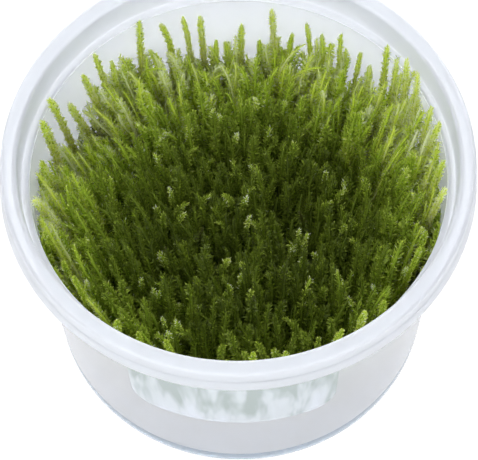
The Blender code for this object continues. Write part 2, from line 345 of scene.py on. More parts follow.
@dataclass(frozen=True)
class AgarGel(Finish):
    """Nutrient agar, poured hot and set: a clear, wet jelly, blue-grey in a thick layer."""

    name: str = "agar_gel"
    colour: str = "#B8D8F0"

    def shader(self, tree: bpy.types.NodeTree) -> bpy.types.NodeSocket:
        """Add the one node."""
        settings = {
            "Base Color": linear(self.colour),
            "Roughness": 0.25,
            "IOR": 1.34,
            "Transmission Weight": 0.6,
        }
        return add_node(tree, "BsdfPrincipled", settings).outputs["BSDF"]


@dataclass(frozen=True)
class WhiteFilm(Finish):
    """A bare polypropylene film, printed with a thin white ground and rolled on.

    The moss behind the cup's wall is painted into the film's colour, in soft upright streaks of shade,
    which are paler below middle_height, where less moss stands behind it.
    """

    name: str = "white_film"
    cover: float = 0.4
    streak_width: float = 4.0 * MM
    streak_height: float = 20.0 * MM
    middle_height: float = 33.0 * MM
    paler_by_height: float = 9.0

    def shader(self, tree: bpy.types.NodeTree) -> bpy.types.NodeSocket:
        """Add the nodes: the painted shade follows noise - paler_by_height * (Z - middle_height)."""
        place = add_node(tree, "TexCoord").outputs["Object"]
        stretch = (1 / self.streak_width, 1 / self.streak_width, 1 / self.streak_height)
        stretched = add_node(
            tree, "VectorMath", {"operation": "MULTIPLY", 1: stretch}, {0: place}
        ).outputs["Vector"]
        soft = {"Scale": 1.0, "Detail": 2.0, "Roughness": 0.55, "Distortion": 0.3}
        streaks = add_node(tree, "TexNoise", soft, {"Vector": stretched}).outputs["Fac"]
        height = add_node(tree, "SeparateXYZ", {}, {0: place}).outputs["Z"]
        fall = {
            "operation": "MULTIPLY_ADD",
            1: -self.paler_by_height,
            2: self.paler_by_height * self.middle_height,
        }
        below = add_node(tree, "Math", fall, {0: height}).outputs["Value"]
        paleness = add_node(tree, "Math", {"operation": "ADD"}, {0: streaks, 1: below})
        # Painted shade: the film is greyer green where moss stands behind it.
        tints = {0.36: "#BCC8C2", 0.44: "#D2DCDA", 0.52: "#E8EEF0", 0.68: "#F4F8FF"}
        tint = add_node(tree, "ValToRGB", {}, {"Fac": paleness.outputs["Value"]}, tints)
        satin = {"Roughness": 0.35, "Alpha": self.cover}
        film = add_node(tree, "BsdfPrincipled", satin, {"Base Color": tint.outputs["Color"]})
        return film.outputs["BSDF"]


# The colour of a leaf by its tone: brown and dead, dark, green, yellow-green, bleached.
LEAF_REFLECTED = {
    0.0: "#4A4424",
    0.12: "#5A6A24",
    0.3: "#8C9C38",
    0.5: "#B8C854",
    0.7: "#DCEA66",
    0.85: "#EEF67A",
    0.93: "#F4F8A8",
    1.0: "#FAFCF0",
}
# The colour of the light that has passed through a leaf, by the same tone.
LEAF_TRANSMITTED = {
    0.0: "#4C4A14",
    0.3: "#8EA41E",
    0.5: "#BCD434",
    0.7: "#E0F24C",
    0.88: "#F4FC80",
    1.0: "#FCFEEC",
}
# A mix node has sockets for each kind of data. These are its factor and its colours.
MIX_FACTOR, MIX_FIRST, MIX_SECOND, MIX_RESULT = 0, 6, 7, 2


@dataclass(frozen=True)
class MossLeaf(Finish):
    """Living moss leaves, one cell thick, moist.

    They let light through, so shoots in the light glow yellow-green, and crowded ones
    stay dark. U of the piece's UV map is the leaf's tone, from dark to bleached, and V
    how far up the shoot it grows.
    """

    name: str = "moss_leaf"
    through: float = 0.6

    def shader(self, tree: bpy.types.NodeTree) -> bpy.types.NodeSocket:
        """Add the nodes: light off the leaf and light through it, each duller and browner low down, by
        age and painted shade.
        """
        uv = add_node(tree, "UVMap").outputs["UV"]
        axes = add_node(tree, "SeparateXYZ", {}, {"Vector": uv})
        # Duller and browner low down: partly the old growth's own colour, partly painted shade deep in
        # the stand.
        age_and_depth_shade = {0.0: "#D4D0B4", 0.4: "#EEECDC", 0.8: "#FFFFFF"}
        depth_light = add_node(tree, "ValToRGB", {}, {"Fac": axes.outputs["Y"]}, age_and_depth_shade)
        multiply = {"data_type": "RGBA", "blend_type": "MULTIPLY", MIX_FACTOR: 1.0}
        colours = []
        for tones in (LEAF_REFLECTED, LEAF_TRANSMITTED):
            tone = add_node(tree, "ValToRGB", {}, {"Fac": axes.outputs["X"]}, tones)
            pair = {MIX_FIRST: tone.outputs["Color"], MIX_SECOND: depth_light.outputs["Color"]}
            colours.append(add_node(tree, "Mix", multiply, pair).outputs[MIX_RESULT])
        moist = {"Roughness": 0.35, "IOR": 1.4, "Specular IOR Level": 0.4}
        surface = add_node(tree, "BsdfPrincipled", moist, {"Base Color": colours[0]})
        glow = add_node(tree, "BsdfTranslucent", {}, {"Color": colours[1]})
        shares = {1: surface.outputs["BSDF"], 2: glow.outputs["BSDF"]}
        return add_node(tree, "MixShader", {"Fac": self.through}, shares).outputs["Shader"]


@dataclass(frozen=True)
class MossThatch(Finish):
    """The old growth under the shoots: brown-green stems and dead leaves, matted."""

    name: str = "moss_thatch"
    mottling: float = 1.6 * MM

    def shader(self, tree: bpy.types.NodeTree) -> bpy.types.NodeSocket:
        """Add the nodes."""
        place = add_node(tree, "TexCoord").outputs["Object"]
        mottled = {"Scale": 1 / self.mottling, "Detail": 4.0, "Roughness": 0.65}
        noise = add_node(tree, "TexNoise", mottled, {"Vector": place})
        tints = {0.3: "#4A5220", 0.5: "#6E7A34", 0.65: "#8E9848", 0.8: "#B0B070"}
        tint = add_node(tree, "ValToRGB", {}, {"Fac": noise.outputs["Fac"]}, tints)
        links = {"Base Color": tint.outputs["Color"]}
        return add_node(tree, "BsdfPrincipled", {"Roughness": 0.8}, links).outputs["BSDF"]


@dataclass(frozen=True)
class PaperSweep(Finish):
    """Matt white background paper, lit until it is nearly pure white."""

    name: str = "paper_sweep"
    glow: float = 0.9

    def shader(self, tree: bpy.types.NodeTree) -> bpy.types.NodeSocket:
        """Add the one node."""
        settings = {
            "Base Color": linear("#808080"),
            "Roughness": 0.9,
            "Specular IOR Level": 0.1,
            "Emission Color": linear("#FFFFFF"),
            "Emission Strength": self.glow,
        }
        return add_node(tree, "BsdfPrincipled", settings).outputs["BSDF"]


# Pieces


def add_piece(
    name: str, surface: Surface, finish: bpy.types.Material, stands_for: list[str]
) -> bpy.types.Object:
    """Make a mesh object of a surface and fix it to the model.

    Args:
        name: the piece's name.
        surface: its shape, in the model's frame.
        finish: its material.
        stands_for: the CAD nodes that it replaces.

    Returns:
        The object.
    """
    mesh = bpy.data.meshes.new(name)
    corners, count = surface.triangles.ravel(), len(surface.triangles)
    mesh.vertices.add(len(surface.points))
    mesh.vertices.foreach_set("co", surface.points.astype(np.float32).ravel())
    mesh.loops.add(len(corners))
    mesh.loops.foreach_set("vertex_index", corners.astype(np.int32))
    mesh.polygons.add(count)
    mesh.polygons.foreach_set("loop_start", np.arange(count, dtype=np.int32) * 3)
    layer = mesh.uv_layers.new(name="growth")
    layer.uv.foreach_set("vector", surface.uv[corners].astype(np.float32).ravel())
    mesh.update(calc_edges=True)
    mesh.shade_smooth()
    mesh.materials.append(finish)
    piece = bpy.data.objects.new(name, mesh)
    bpy.context.scene.collection.objects.link(piece)
    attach(piece, BODY)
    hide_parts(*stands_for)
    log.info("%s: %d triangles, in place of %s", name, count, ", ".join(stands_for))
    return piece


@dataclass
class Cup:
    """The moulded cup: its sizes, its walls as functions of height, and its piece."""

    flange_radius: float = 50.0 * MM
    mouth_radius: float = 46.4 * MM
    skirt_drop: float = 6.25 * MM
    wall: float = 0.9 * MM
    body_top_radius: float = 45.15 * MM
    body_top_height: float = 56.6 * MM
    body_foot_radius: float = 41.95 * MM
    base_rounding: float = 2.5 * MM
    foot_ring_width: float = 3.0 * MM
    foot_recess: float = 0.8 * MM
    recess_slope: float = 0.6 * MM
    floor_thickness: float = 1.0 * MM
    floor_rounding: float = 2.0 * MM
    flange_thickness: float = 1.1 * MM
    flange_draft: float = 0.1 * MM
    step_top: float = 3.1 * MM
    step_bottom: float = 3.4 * MM
    neck_draft: float = 0.35 * MM
    foot_height: float = 5.6 * MM
    ledge_height: float = 57.9 * MM
    segments: int = 256
    height: float = field(init=False)
    skirt_radius: float = field(init=False)

    def __post_init__(self) -> None:
        """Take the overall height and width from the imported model."""
        _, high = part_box("cup")
        self.height = high[2]
        self.skirt_radius = high[0]

    def body_radius(self, height: np.ndarray) -> np.ndarray:
        """The outer radius of the tapering body at a height."""
        run = self.body_top_height - self.base_rounding
        share = (height - self.base_rounding) / run
        return self.body_foot_radius + (self.body_top_radius - self.body_foot_radius) * share

    def room(self, height: np.ndarray) -> np.ndarray:
        """The inner radius at a height: the body's below the ledge, the neck's above it."""
        neck_foot = self.mouth_radius - self.neck_draft
        rise = (height - self.ledge_height) / (self.height - self.ledge_height)
        neck = neck_foot + self.neck_draft * np.clip(rise, 0.0, 1.0)
        return np.where(height < self.ledge_height, self.body_radius(height) - self.wall, neck)

    def outline(self) -> list[tuple[float, float, float]]:
        """The section, from the middle of the underside round to the middle of the floor."""
        floor = self.foot_recess + self.floor_thickness
        foot_outer = self.body_foot_radius
        foot_inner = foot_outer - self.base_rounding - self.foot_ring_width
        neck_foot = self.mouth_radius - self.neck_draft
        underside = self.height - self.flange_thickness
        skirt_bottom = self.height - self.skirt_drop
        inner = self.body_radius(self.ledge_height) - self.wall
        inner_foot = self.body_radius(floor) - self.wall
        small, fine, step, outer, mouth = np.array([0.45, 0.25, 0.2, 0.7, 0.9]) * MM
        draft = self.flange_draft
        return [
            (0.0, self.foot_recess, 0.0),
            (foot_inner - self.recess_slope, self.foot_recess, small / 2),
            (foot_inner, 0.0, small / 2),
            (foot_outer - draft, 0.0, self.base_rounding),
            (float(self.body_radius(self.foot_height)), self.foot_height, 0.0),
            (self.body_top_radius, self.body_top_height, small),
            (neck_foot + self.wall, self.ledge_height - self.wall, small),
            (self.mouth_radius + self.wall, underside, small),
            (self.flange_radius - self.wall, underside, small),
            (self.skirt_radius - self.wall, skirt_bottom, fine),
            (self.skirt_radius, skirt_bottom, fine),
            (self.flange_radius + draft, self.height - self.step_bottom, step),
            (self.flange_radius, self.height - self.step_top, step),
            (self.flange_radius - draft, self.height, outer),
            (self.mouth_radius, self.height, mouth),
            (neck_foot, self.ledge_height, small),
            (inner, self.ledge_height, small),
            (inner_foot, floor, self.floor_rounding),
            (0.0, floor, 0.0),
        ]

    def build(self) -> None:
        """Turn the section and give it its plastic."""
        shape = revolved(filleted(self.outline()), self.segments)
        plastic = FrostedPolypropylene().material()
        piece = add_piece("moulded_cup", shape, plastic, ["cup"])
        clear = FrostedPolypropylene("clear_polypropylene", "#F1F4FF", 0.2, 0.5)
        # Painted shade: the darker copy on the outside of the foot stands for the shadow under the cup
        # that shows through it.
        thick = FrostedPolypropylene("thick_polypropylene", "#A4B6C6", 0.2, 0.54)
        for finish in (clear, thick):
            piece.data.materials.append(finish.material())
        piece.data.polygons.foreach_set("material_index", self.finishes_of(shape))

    def finishes_of(self, shape: Surface) -> np.ndarray:
        """The finish of each triangle: 0 on the rim, 1 on the body, 2 outside on the foot, which is
        painted shade.
        """
        below_shoulder, slack, ring_top = 0.5 * MM, 0.2 * MM, 1.5 * MM
        middle = shape.points[shape.triangles].mean(axis=1)
        radius, height = np.hypot(middle[:, 0], middle[:, 1]), middle[:, 2]
        is_body = height < self.body_top_height - below_shoulder
        is_body &= radius < self.body_top_radius + slack
        is_shaded_foot = (height < ring_top) & (radius > self.body_foot_radius - self.foot_ring_width)
        is_shaded_foot |= radius > self.body_radius(height) - self.wall / 2
        is_shaded_foot &= height < self.foot_height
        return is_body.astype(np.int32) + is_shaded_foot.astype(np.int32)


@dataclass
class Gel:
    """The set gel at the bottom of the cup, which climbs the wall a little where it wets it."""

    cup: Cup
    clearance: float = 0.05 * MM
    climb: float = 0.25 * MM
    dip: float = 0.1 * MM
    meniscus: float = 1.5 * MM
    segments: int = 128

    def build(self) -> None:
        """Turn the gel's section."""
        bottom = self.cup.foot_recess + self.cup.floor_thickness + self.clearance
        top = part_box("nutrient_gel")[1][2]
        foot = self.cup.body_radius(bottom) - self.cup.wall - self.clearance
        edge = self.cup.body_radius(top) - self.cup.wall - self.clearance
        crest, small, round_dip = 0.2 * MM, 0.1 * MM, 0.8 * MM
        outline = [
            (0.0, bottom, 0.0),
            (foot, bottom, self.cup.floor_rounding),
            (edge, top + self.climb, 0.0),
            (edge - crest, top + self.climb, small),
            (edge - self.meniscus, top - self.dip, round_dip),
            (0.0, top - self.dip, 0.0),
        ]
        shape = revolved(filleted(outline), self.segments)
        add_piece("set_gel", shape, AgarGel().material(), ["nutrient_gel"])


@dataclass
class Label:
    """The bare film on the front of the body."""

    cup: Cup
    bearing: float = 183.0
    half_angle: float = 30.0
    corner: float = 5.0 * MM
    gap: float = 0.03 * MM
    thickness: float = 0.12 * MM
    columns: int = 65
    rows: int = 17

    def build(self) -> None:
        """Lay a sheet with rounded corners on the cone of the body.

        A column at distance d from an end is shortened at both edges by the corner's inset,
        R - sqrt(R^2 - (R - d)^2) where d < R, and its points are spread evenly between.
        """
        low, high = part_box("blank_label")
        length = 2 * math.radians(self.half_angle) * self.cup.body_radius(high[2])
        share = 0.5 - 0.5 * np.cos(np.linspace(0.0, math.pi, self.columns))
        from_end = np.minimum(share, 1 - share) * length
        run = np.clip(self.corner - from_end, 0.0, self.corner)
        inset = np.minimum(self.corner - np.sqrt(self.corner**2 - run**2), 0.9 * self.corner)
        up = np.linspace(0.0, 1.0, self.rows)[:, None]
        height = low[2] + inset + up * (high[2] - low[2] - 2 * inset)
        angle = np.radians(self.bearing + self.half_angle * (2 * share - 1))[None, :]
        angle = np.broadcast_to(angle, height.shape)
        sheets = []
        for proud in (self.gap, self.gap + self.thickness):
            radius = self.cup.body_radius(height) + proud
            sheets.append(np.stack([radius * np.sin(angle), radius * np.cos(angle), height], -1))
        shape = self.closed(sheets[0], sheets[1])
        add_piece("bare_film", shape, WhiteFilm().material(), ["blank_label"])

    def closed(self, inner: np.ndarray, outer: np.ndarray) -> Surface:
        """Join two sheets along their edges.

        Args:
            inner: (rows, columns, 3) points of the sheet that faces the cup.
            outer: the same for the sheet that faces out.

        Returns:
            One closed surface.
        """
        rows, columns = inner.shape[:2]
        count = rows * columns
        index = np.arange(count).reshape(rows, columns)
        border = np.concatenate([index[0], index[1:, -1], index[-1, -2::-1], index[-2:0:-1, 0]])
        following = np.roll(border, -1)
        face = grid_triangles(rows, columns, False)
        halves = ([border + count, border, following], [border + count, following, following + count])
        side = [np.stack(half, axis=1) for half in halves]
        triangles = np.concatenate([face, face[:, ::-1] + count, *side])
        flat = np.stack(np.meshgrid(np.linspace(0, 1, columns), np.linspace(0, 1, rows)), -1)
        uv = np.concatenate([flat.reshape(-1, 2)] * 2)
        return Surface(np.concatenate([inner, outer]).reshape(-1, 3), triangles, uv)


# Moss


@dataclass
class Shoots:
    """Many shoots as arrays: each axis is a polynomial of t, from 0 at the foot to 1 at the tip.

    coefficients is (n, degree + 1, 3), and the rest are (n,): rise is how far the tip is above
    the foot, leafed is the t above which leaves grow, pallor is how much paler the tip is, and
    looseness is how far the leaves stand off, against a common shoot's 1.
    """

    coefficients: np.ndarray
    rise: np.ndarray
    thickness: np.ndarray
    tone: np.ndarray
    pallor: np.ndarray
    leafed: np.ndarray
    looseness: np.ndarray

    def axis(self, t: np.ndarray) -> tuple[np.ndarray, np.ndarray]:
        """Points and unit directions on the axes.

        Args:
            t: (n, m) places along each axis.

        Returns:
            The points and the tangents, both (n, m, 3).
        """
        degree = self.coefficients.shape[1]
        power = np.arange(degree)
        point = np.einsum("nmd,ndk->nmk", t[..., None] ** power, self.coefficients)
        slope = power[1:] * t[..., None] ** (power[1:] - 1)
        tangent = np.einsum("nmd,ndk->nmk", slope, self.coefficients[:, 1:])
        return point, tangent / np.linalg.norm(tangent, axis=-1, keepdims=True)

    def part(self, chosen: np.ndarray) -> "Shoots":
        """The chosen shoots alone."""
        return Shoots(*(values[chosen] for values in vars(self).values()))

    def along(self, other: "Shoots") -> "Shoots":
        """These shoots and some others."""
        pairs = zip(vars(self).values(), vars(other).values())
        return Shoots(*(np.concatenate(pair) for pair in pairs))


@dataclass
class Grower:
    """Dresses the axes of shoots, each as a stem and leaves.

    Sizes are those of a shoot as thick as usual_thickness. A tone runs from 0, brown and
    dead, to 1, bleached white.
    """

    cup: Cup
    leaves: int = 200
    stem_rings: int = 12
    leaf_length: float = 0.8 * MM
    leaf_half_width: float = 0.2 * MM
    usual_thickness: float = 1.5 * MM
    spread: float = 45.0
    stem_share: float = 0.2
    stem_sides: int = 4
    stem_top: float = 0.96
    tip_taper: float = 3.0 * MM
    tip_zone: float = 20.0 * MM
    bleach_power: int = 7
    gap_to_wall: float = 0.1 * MM
    seed: int = SEED

    def frame_of(self, tangent: np.ndarray) -> tuple[np.ndarray, np.ndarray]:
        """Two unit vectors across each tangent, by crossing it with +X and then with that."""
        side = np.cross(np.array([1.0, 0.0, 0.0]), tangent)
        side /= np.linalg.norm(side, axis=-1, keepdims=True)
        return side, np.cross(tangent, side)

    def plumpness(self, t: np.ndarray, rise: np.ndarray) -> np.ndarray:
        """How thick a shoot is at t: 1, and down to a half over its last tip_taper."""
        left = (1.0 - t) * rise
        return np.sqrt(np.clip(left / self.tip_taper, 0.0, 1.0)) * 0.5 + 0.5

    def tip_nearness(self, t: np.ndarray, rise: np.ndarray) -> np.ndarray:
        """From 0 at tip_zone or more below the tip to 1 at the tip, and just off both ends."""
        return np.clip(1.0 - (1.0 - t) * rise / self.tip_zone, 0.01, 0.99)

    def stems(self, shoots: Shoots) -> Surface:
        """Closed tubes along the axes: ring s of 0 to 1 is at t = 1 - (1 - s)^1.5.

        A stem is thin where no leaves hide it, and thickens where they start.
        """
        crowding, bare, leafing = 1.5, 0.3, 6.0
        darker, uneven = 0.04, 0.07
        chance = np.random.default_rng(self.seed + STEM_SEED)
        count = len(shoots.tone)
        t = 1.0 - (1.0 - np.linspace(0.0, self.stem_top, self.stem_rings)) ** crowding
        t = t[None, :].repeat(count, axis=0)
        point, tangent = shoots.axis(t)
        side, other = self.frame_of(tangent)
        rise = shoots.rise[:, None]
        leafy = np.clip((t - shoots.leafed[:, None]) * leafing, bare, 1.0)
        radius = shoots.thickness[:, None] * self.stem_share * self.plumpness(t, rise) * leafy
        radius = radius * chance.uniform(0.85, 1.15, t.shape)
        angle = np.linspace(0.0, 2 * math.pi, self.stem_sides, endpoint=False)
        cos, sin = np.cos(angle)[:, None], np.sin(angle)[:, None]
        around = side[:, :, None] * cos + other[:, :, None] * sin
        rings = point[:, :, None] + around * radius[:, :, None, None]
        fan = np.arange(1, self.stem_sides - 1)[:, None]
        foot_cap = np.hstack([0 * fan, fan + 1, fan])
        tip_cap = (self.stem_rings - 1) * self.stem_sides + np.hstack([0 * fan, fan, fan + 1])
        tube = grid_triangles(self.stem_rings, self.stem_sides, True)
        cells = np.concatenate([tube, foot_cap, tip_cap])
        starts = np.arange(count) * self.stem_rings * self.stem_sides
        triangles = (cells[None] + starts[:, None, None]).reshape(-1, 3)
        near = self.tip_nearness(t, rise)[:, :, None]
        tone = self.tone_at(shoots, near[..., 0])[..., None]
        unevenness = chance.normal(0.0, uneven, rings.shape[:3]) * self.strength(tone)
        return Surface(rings.reshape(-1, 3), triangles, self.uv_of(tone - darker + unevenness, near))

    def uv_of(self, tone: np.ndarray, near: np.ndarray) -> np.ndarray:
        """The UV of each point: its tone, just off the ends, and how near the tip it is."""
        up = np.broadcast_to(near, tone.shape)
        return np.stack([np.clip(tone, 0.02, 0.98), up], axis=-1).reshape(-1, 2)

    def tone_at(self, shoots: Shoots, near: np.ndarray) -> np.ndarray:
        """The tone along shoots: a pale one bleaches at its tip, and all are paler low down, painted
        light that lifts the shade deep in the stand.
        """
        bleach, depth_light = 0.5, 0.2
        bleached = bleach * shoots.pallor[:, None] * near**self.bleach_power
        return shoots.tone[:, None] + bleached + depth_light * (1.0 - near)

    def strength(self, tone: np.ndarray) -> np.ndarray:
        """How far the tone varies from leaf to leaf: little where the shoots are dark."""
        gain, offset, least, most = 1.7, -0.15, 0.2, 1.3
        return np.clip(tone * gain + offset, least, most)

    def foliage(self, shoots: Shoots) -> Surface:
        """The leaves: each is a kite of two triangles, folded along its midrib.

        Leaf k stands k golden angles round the axis. It leaves the stem at the spread
        angle a, along cos(a) T + sin(a) D, where T is the axis's direction and D points
        straight out. Its tone runs from darker at its base to paler at its point.
        """
        last, a_turn, turn_jitter = 0.995, 6.28, 0.35
        sunk, widest, cupped = 0.85, 0.42, 0.35
        pale_share, paler, greener = 0.6, 1.1, -0.2
        glint_share, glint_from, glint_to = 0.09, 0.3, 0.8
        darker, uneven, along_leaf = -0.03, 0.17, np.array([-0.25, 0.0, 0.25, 0.0])
        chance = np.random.default_rng(self.seed)
        count = len(shoots.tone)
        shape = (count, self.leaves)
        number = np.arange(self.leaves)
        share = (number + chance.uniform(0.0, 1.0, shape)) / self.leaves
        t = shoots.leafed[:, None] + (last - shoots.leafed[:, None]) * share
        point, tangent = shoots.axis(t)
        side, other = self.frame_of(tangent)
        rise = shoots.rise[:, None]
        plump = self.plumpness(t, rise)
        turn = golden_turns(number) + chance.uniform(0.0, a_turn, (count, 1))
        turn = turn + chance.uniform(-turn_jitter, turn_jitter, shape)
        out = side * np.cos(turn)[..., None] + other * np.sin(turn)[..., None]
        spread = np.radians(self.spread * shoots.looseness)[:, None] * (0.4 + 0.6 * plump)
        spread = spread * chance.uniform(0.5, 1.5, shape)
        along = tangent * np.cos(spread)[..., None] + out * np.sin(spread)[..., None]
        across = np.cross(tangent, out)
        size = shoots.thickness[:, None] / self.usual_thickness * plump
        size = size * chance.uniform(0.7, 1.3, shape)
        length = (self.leaf_length * size)[..., None]
        width = (self.leaf_half_width * size)[..., None]
        stem = shoots.thickness[:, None, None] * self.stem_share * plump[..., None]
        base = point + out * stem * sunk
        middle = base + along * length * widest + out * width * cupped
        corners = [base, middle + across * width, base + along * length, middle - across * width]
        corners = np.stack(corners, axis=2).reshape(-1, 3)
        start = np.arange(len(corners) // 4)[:, None] * 4
        triangles = np.concatenate([start + [0, 1, 2], start + [0, 2, 3]])
        near = self.tip_nearness(t, rise)
        tone = self.tone_at(shoots, near)
        pale = np.where(chance.random(shape) < pale_share, paler, greener)
        tone = tone + shoots.pallor[:, None] * near**self.bleach_power * pale
        strength = self.strength(tone)
        # Painted glints: a few leaves at random get a much paler tone.
        is_glint = chance.random(shape) < glint_share
        painted_glint = np.where(is_glint, chance.uniform(glint_from, glint_to, shape), 0.0)
        tone = tone + (chance.normal(darker, uneven, shape) + painted_glint) * strength
        tone = tone[..., None] + along_leaf * strength[..., None]
        return Surface(corners, triangles, self.uv_of(tone, near[..., None]))

    def grow(self, shoots: Shoots) -> Surface:
        """Stems and leaves together, kept off the cup's wall."""
        whole = joined([self.stems(shoots), self.foliage(shoots)])
        distance = np.hypot(whole.points[:, 0], whole.points[:, 1])
        limit = self.cup.room(whole.points[:, 2]) - self.gap_to_wall
        whole.points[:, :2] *= np.minimum(1.0, limit / np.maximum(distance, TINY))[:, None]
        return whole


class Habit(Enum):
    """How a shoot that the photograph shows singly has grown."""

    UPRIGHT = "upright"
    HOOKED = "hooked"
    BLEACHED = "bleached"
    BROWN = "brown"
    ARCHING = "arching"


@dataclass(frozen=True)
class Landmark:
    """A shoot that stands out in the photograph, by the pixels of its tip and its foot."""

    tip: tuple[float, float]
    foot: tuple[float, float]
    habit: Habit
    height: float = 47.0 * MM


# How high the tips are at the wall, in mm, by bearing in degrees from the back to the right.
STAND_EDGE = (
    *((-180, 47), (-140, 48), (-110, 52), (-93, 50), (-75, 39), (-55, 36), (-47, 45), (-40, 49)),
    *((-32, 48), (-20, 43), (0, 40), (14, 42), (26, 47), (38, 48), (46, 44), (54, 50), (60, 57)),
    *((70, 58), (80, 55), (90, 53), (100, 55), (120, 50), (150, 47), (180, 47)),
)
# The tone of a shoot by how far its tip is from the bright wall, in mm: painted light near the wall,
# painted shade towards the middle.
PAINTED_LIGHT_BY_DISTANCE = ((0, 0.97), (4, 0.82), (8, 0.55), (12, 0.37), (18, 0.27), (26, 0.23), (45, 0.2))
UPRIGHT, HOOKED, BLEACHED, BROWN, ARCHING = Habit
# The shoots that stand out, with the pixels of the tip, then of the foot.
LANDMARKS = (
    Landmark((309, 42), (276, 104), ARCHING, 55 * MM),
    Landmark((325, 66), (286, 110), ARCHING, 54 * MM),
    Landmark((164, 68), (141, 104), ARCHING, 53 * MM),
    Landmark((211, 108), (212, 140), BLEACHED, 48 * MM),
    Landmark((221, 113), (220, 146), BLEACHED, 48 * MM),
    Landmark((158, 136), (152, 170), BLEACHED, 46 * MM),
    Landmark((187, 128), (188, 160), BLEACHED, 46 * MM),
    Landmark((234, 132), (236, 164), BLEACHED, 46 * MM),
    Landmark((257, 96), (258, 130), BLEACHED, 49 * MM),
    Landmark((172, 186), (173, 226), BLEACHED),
    Landmark((177, 199), (174, 240), HOOKED),
    Landmark((178, 210), (176, 250), HOOKED),
    Landmark((200, 190), (204, 232), HOOKED),
    Landmark((161, 212), (168, 254), UPRIGHT),
    Landmark((232, 190), (234, 232), HOOKED),
    Landmark((246, 184), (249, 226), HOOKED),
    Landmark((244, 195), (241, 236), BLEACHED),
    Landmark((228, 216), (230, 258), HOOKED),
    Landmark((260, 218), (264, 258), HOOKED),
    Landmark((247, 214), (244, 256), BLEACHED),
    Landmark((321, 196), (323, 240), HOOKED),
    Landmark((297, 228), (301, 268), BLEACHED),
    Landmark((305, 232), (303, 272), BLEACHED),
    Landmark((291, 244), (289, 284), BLEACHED),
    Landmark((281, 264), (283, 304), BLEACHED),
    Landmark((300, 256), (300, 298), BLEACHED),
    Landmark((303, 211), (304, 252), BROWN),
    Landmark((199, 228), (201, 268), BROWN),
    Landmark((220, 256), (230, 294), HOOKED),
    Landmark((248, 260), (244, 300), HOOKED),
    Landmark((239, 272), (240, 312), BLEACHED),
    Landmark((244, 274), (245, 314), BLEACHED),
    Landmark((231, 283), (232, 324), BLEACHED),
    Landmark((198, 276), (200, 318), UPRIGHT),
    Landmark((166, 278), (174, 316), HOOKED),
    Landmark((156, 290), (160, 330), BLEACHED),
    Landmark((166, 296), (170, 334), BROWN),
    Landmark((320, 250), (318, 290), HOOKED),
    Landmark((322, 286), (318, 326), UPRIGHT),
    Landmark((314, 290), (310, 330), UPRIGHT),
    Landmark((365, 160), (352, 208), HOOKED),
    Landmark((336, 187), (334, 228), HOOKED),
    Landmark((323, 170), (325, 212), BLEACHED),
    Landmark((383, 170), (389, 212), UPRIGHT),
    Landmark((398, 158), (395, 200), UPRIGHT),
    Landmark((407, 148), (400, 192), UPRIGHT),
    Landmark((399, 178), (416, 218), HOOKED),
    Landmark((420, 160), (418, 204), BLEACHED),
    Landmark((342, 224), (345, 262), UPRIGHT),
    Landmark((353, 218), (366, 258), UPRIGHT),
    Landmark((378, 210), (378, 250), HOOKED),
    Landmark((397, 205), (392, 246), HOOKED),
    Landmark((393, 226), (396, 266), UPRIGHT),
    Landmark((138, 277), (150, 316), BLEACHED),
    Landmark((155, 287), (160, 326), BLEACHED),
    Landmark((187, 302), (194, 340), HOOKED),
    Landmark((228, 292), (222, 334), UPRIGHT),
    Landmark((318, 299), (322, 338), HOOKED),
    Landmark((330, 273), (326, 314), HOOKED),
    Landmark((350, 296), (358, 334), BLEACHED),
    Landmark((426, 226), (421, 264), BLEACHED, 51 * MM),
    Landmark((404, 266), (399, 302), BLEACHED, 49 * MM),
    Landmark((376, 284), (373, 320), BLEACHED, 47 * MM),
    Landmark((84, 279), (93, 314), BLEACHED, 47 * MM),
    Landmark((75, 277), (85, 310), BLEACHED, 47 * MM),
    Landmark((50, 232), (62, 266), BLEACHED, 50 * MM),
    Landmark((220, 344), (221, 378), UPRIGHT, 52 * MM),
    Landmark((247, 351), (248, 384), UPRIGHT, 52 * MM),
    Landmark((258, 342), (272, 376), UPRIGHT, 53 * MM),
    Landmark((277, 349), (278, 382), UPRIGHT, 52 * MM),
    Landmark((306, 331), (305, 368), UPRIGHT, 50 * MM),
    Landmark((317, 337), (318, 372), UPRIGHT, 50 * MM),
    Landmark((333, 318), (331, 356), UPRIGHT, 50 * MM),
    Landmark((145, 326), (148, 362), UPRIGHT, 50 * MM),
    Landmark((165, 316), (168, 354), BLEACHED, 49 * MM),
    Landmark((171, 330), (174, 366), BLEACHED, 50 * MM),
    Landmark((179, 320), (182, 358), BLEACHED, 49 * MM),
)


